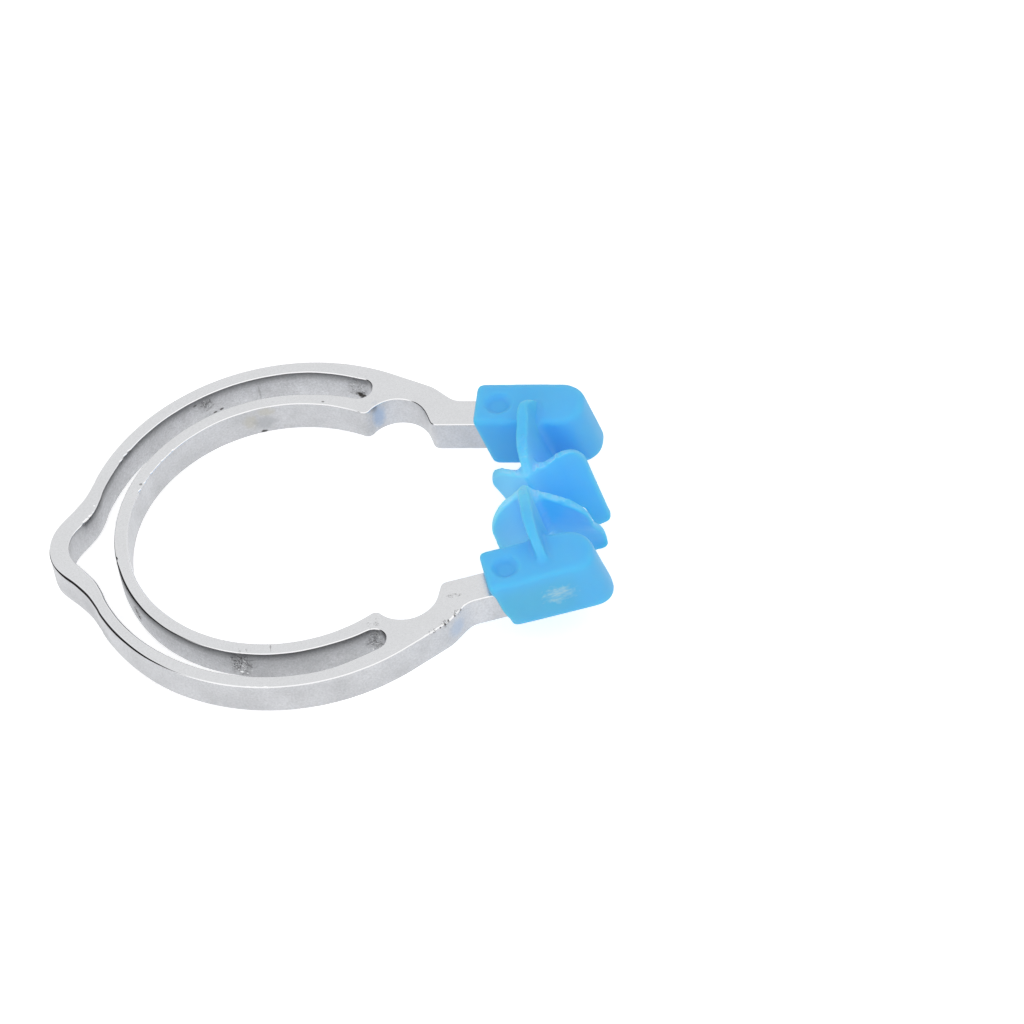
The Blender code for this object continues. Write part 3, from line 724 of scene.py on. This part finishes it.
siliconeUser = {
    "colours": ("#55bbff", "#61c4ff"),       # pigment that is a little uneven
    "cloudSize": 3.0,                        # mm
    "grainSize": 0.12,                       # mm, blasted mould, drawn coarser than real so that it shows
    "grainBump": {"Strength": 0.2, "Distance": 0.01 * mm},
    "roughness": 0.46,
    "ior": 1.41,
    "depth": (0.35, 1.2, 1.2),               # mm that red, green and blue light travel inside
    "depthWeight": 0.8,
    # places in the plate's frame: middle and half sizes in mm
    "thinLitColour": "#7ad2ff",                 # painted light: thin walls lighter, as light comes through them
    "thin": (16.2, -1.2, 0.0, 4.6, 4.4, 7.0),
    "dimpleShadeColour": "#45aef5",               # painted shade in the hollows, darker blue
    "dimpleShades": [(15.72, 7.46, 2.15, 1.0, 1.0, 0.3, 0.25), (15.4, -7.72, 2.15, 1.0, 1.0, 0.3, 0.25)],
    "rimLitColour": "#a9d0ee",                  # painted light: upward rims paler, as if the white showed through the thin flash
    "rims": (19.0, 0.0, 0.0, 7.0, 4.4, 6.0),
    "rimLevels": (0.6, 0.9),                 # share of facing up
    "rimSize": 0.5,                          # mm between ragged bits
    "rimRagged": (0.37, 0.52, 0.1, 0.5),     # noise levels, with the cover there
    "scuffColour": "#cfe8ff",                # rubbed on the near body's outer face
    "scuff": (18.85, -8.95, 0.35, 1.4, 0.6, 0.95),
    "scuffSize": 0.22,                       # mm between streaks
    "scuffStretch": (0.25, 1, 1),            # they run along the plate
    "scuffStreaks": (0.38, 0.66, 0.08, 0.5),   # noise levels, with the cover there
    # painted glow: emission standing in for light that comes through the saddles' walls, more through the
    # thinnest
    "glowColours": ("#00a6ff", "#cbf3ff"),
    "glow": (0.07, 0.1),
    "saddles": (18.2, -0.4, 0.0, 6.5, 4.4, 7.0),
    "thinnest": (14.6, -0.6, 0.0, 3.4, 4.4, 7.0),
}


def mouldedSilicone():
    # pigmented silicone from a fine-blasted mould: satin, light passes a little way in; with painted light and
    # shade
    user = siliconeUser
    material, tree, place = newMaterial("mouldedSilicone")
    cloud, grain = (addNode(tree, "ShaderNodeTexNoise", {
        "Vector": place, "Scale": perMm(user[size]), "Detail": 2.0,
    }) for size in ("cloudSize", "grainSize"))
    thin, rims, saddle, thinnest = (
        patch(tree, place, user[part]) for part in ("thin", "rims", "saddles", "thinnest"))

    facingUp = facing(tree, (0, 0, 1))
    flashed = addNode(tree, "ShaderNodeTexNoise", {
        "Vector": place, "Scale": perMm(user["rimSize"]), "Detail": 3.0,
    })
    # painted light on the upward-facing rims
    rim = faded(tree, rims, (facingUp, *user["rimLevels"], 0.0, 1.0), (flashed, *user["rimRagged"]))
    stretched = addNode(tree, "ShaderNodeVectorMath", (place, user["scuffStretch"]), operation="MULTIPLY")
    streaks = addNode(tree, "ShaderNodeTexNoise", {
        "Vector": stretched, "Scale": perMm(user["scuffSize"]), "Detail": 4.0, "Roughness": 0.6,
    })
    scuff = faded(tree, patch(tree, place, user["scuff"], 0.25), (streaks, *user["scuffStreaks"]))
    # pigment, with painted light on thin walls and upper rims, and painted shade in the dimples
    colour = coated(
        tree, hexColour(user["colours"][0]),
        (cloud, user["colours"][1]),
        (thin, user["thinLitColour"]),
        (marked(tree, place, user["dimpleShades"]), user["dimpleShadeColour"]),
        (rim, user["rimLitColour"]),
        (scuff, user["scuffColour"]),
    )

    # painted glow on the saddles, brighter on the thinnest walls
    deepGlow, paleGlow = user["glowColours"]
    glow = addNode(tree, "ShaderNodeMix", {"Factor": thinnest, "A": user["glow"][0], "B": user["glow"][1]})
    shader = addNode(tree, "ShaderNodeBsdfPrincipled", {
        "Base Color": colour,
        "Roughness": user["roughness"],
        "IOR": user["ior"],
        "Normal": addNode(tree, "ShaderNodeBump", {"Height": grain, **user["grainBump"]}),
        "Subsurface Weight": user["depthWeight"],
        "Subsurface Radius": user["depth"],
        "Subsurface Scale": 1.0 * mm,
        "Emission Color": coated(tree, hexColour(deepGlow), (thinnest, paleGlow)),
        "Emission Strength": addNode(tree, "ShaderNodeMath", (glow, saddle), operation="MULTIPLY"),
    })
    addNode(tree, "ShaderNodeOutputMaterial", {"Surface": shader})
    material.cycles.emission_sampling = "NONE"    # too faint to light anything
    return material


# Studio: white floor, white surroundings, soft lamps

studioUser = {
    "floorHalfWidth": 1.5,      # m
    "floorColour": "#f4f4f4",
    "floorRoughness": 0.9,
    "floorGlow": 0.5,           # what lifts the paper to white for the eye, while it keeps the ring's shadow
    "worldStrength": 0.62,      # light on the ring from all round
    "lampDistance": 0.35,       # m from the ring
    "lamps": {                  # azimuth and elevation in degrees, width in m, power in W
        "keyLamp": (-15, 40, 0.35, 0.27),
        "topLamp": (0, 76, 0.4, 0.22),
        "fillLamp": (70, 50, 0.35, 0.03),
    },
}


def seenDirectly(tree):
    # 1 for what the camera sees, also mirrored in steel or through something clear, 0 for light on the ring
    path = addNode(tree, "ShaderNodeLightPath").outputs
    seen = path["Is Camera Ray"]
    for ray in ("Is Glossy Ray", "Is Transmission Ray"):
        seen = addNode(tree, "ShaderNodeMath", (seen, path[ray]), operation="MAXIMUM")
    return seen


def whiteFloor():
    # matt white paper: pure white, with a soft grey shadow under the ring
    user = studioUser
    bpy.ops.mesh.primitive_plane_add(size=2 * user["floorHalfWidth"])
    floor = bpy.context.object
    floor.name = "floor"
    material, tree = newMaterial("whitePaperSweep")[:2]
    shader = addNode(tree, "ShaderNodeBsdfPrincipled", {
        "Base Color": hexColour(user["floorColour"]),
        "Roughness": user["floorRoughness"],
        "Emission Color": (1, 1, 1, 1),
        "Emission Strength": addNode(tree, "ShaderNodeMath", (
            seenDirectly(tree), user["floorGlow"],
        ), operation="MULTIPLY"),
    })
    addNode(tree, "ShaderNodeOutputMaterial", {"Surface": shader})
    floor.data.materials.append(material)


def whiteWorld():
    # white to the eye and in the steel, and softer as light
    world = bpy.data.worlds.new("whiteRoom")
    bpy.context.scene.world = world
    world.use_nodes = True
    tree = world.node_tree
    tree.nodes.clear()
    strength = addNode(tree, "ShaderNodeMapRange", (
        seenDirectly(tree), 0.0, 1.0, studioUser["worldStrength"], 1.0,
    ))
    background = addNode(tree, "ShaderNodeBackground", {"Color": (1, 1, 1, 1), "Strength": strength})
    addNode(tree, "ShaderNodeOutputWorld", {"Surface": background})


def wayTo(azimuth, elevation):
    # from the ring towards a lamp or the camera; azimuth 0 stands on its right side and looks along +Y
    a, e = math.radians(azimuth), math.radians(elevation)
    return Vector((math.sin(a) * math.cos(e), -math.cos(a) * math.cos(e), math.sin(e)))


def softLamp(name, azimuth, elevation, width, power):
    # a round lamp that lights the ring but doesn't burn out its flat faces as a reflection
    away = wayTo(azimuth, elevation)
    light = bpy.data.lights.new(name, "AREA")
    light.shape = "DISK"
    light.size = width
    light.energy = power
    lamp = bpy.data.objects.new(name, light)
    lamp.location = away * studioUser["lampDistance"]
    lamp.rotation_euler = away.to_track_quat("Z", "Y").to_euler()
    lamp.visible_glossy = False
    bpy.context.scene.collection.objects.link(lamp)


# Camera at the photograph's viewing angle

cameraUser = {
    "aim": (12.711, 0.575, 4.189),   # mm, the point at the middle of the picture
    "elevation": 48.582,             # degrees above the floor
    "azimuth": -3.701,               # degrees, 0 looks along +Y
    "roll": 0.676,                   # degrees
    "distance": 436.42,              # mm
    "lens": 219.18,                  # mm
}


def photoCamera():
    user = cameraUser
    away = wayTo(user["azimuth"], user["elevation"])
    data = bpy.data.cameras.new("photoCamera")
    data.lens = user["lens"]
    data.clip_start = 0.01
    data.clip_end = 10
    camera = bpy.data.objects.new("photoCamera", data)
    camera.location = (Vector(user["aim"]) + away * user["distance"]) * mm
    level = away.to_track_quat("Z", "Y").to_matrix().to_4x4()
    turn = level @ Matrix.Rotation(math.radians(user["roll"]), 4, "Z")
    camera.rotation_euler = turn.to_euler()
    bpy.context.scene.collection.objects.link(camera)
    bpy.context.scene.camera = camera


ringPiece()
silicone = mouldedSilicone()
tipPiece("left_tip", "leftTip", 1, silicone)
tipPiece("right_tip", "rightTip", -1, silicone)
whiteFloor()
whiteWorld()
for name, values in studioUser["lamps"].items():
    softLamp(name, *values)
print("studio: floor, surroundings and %d lamps" % len(studioUser["lamps"]))
photoCamera()
print("camera at %.1f degrees above the floor" % cameraUser["elevation"])
bpy.context.scene.view_settings.view_transform = "Standard"
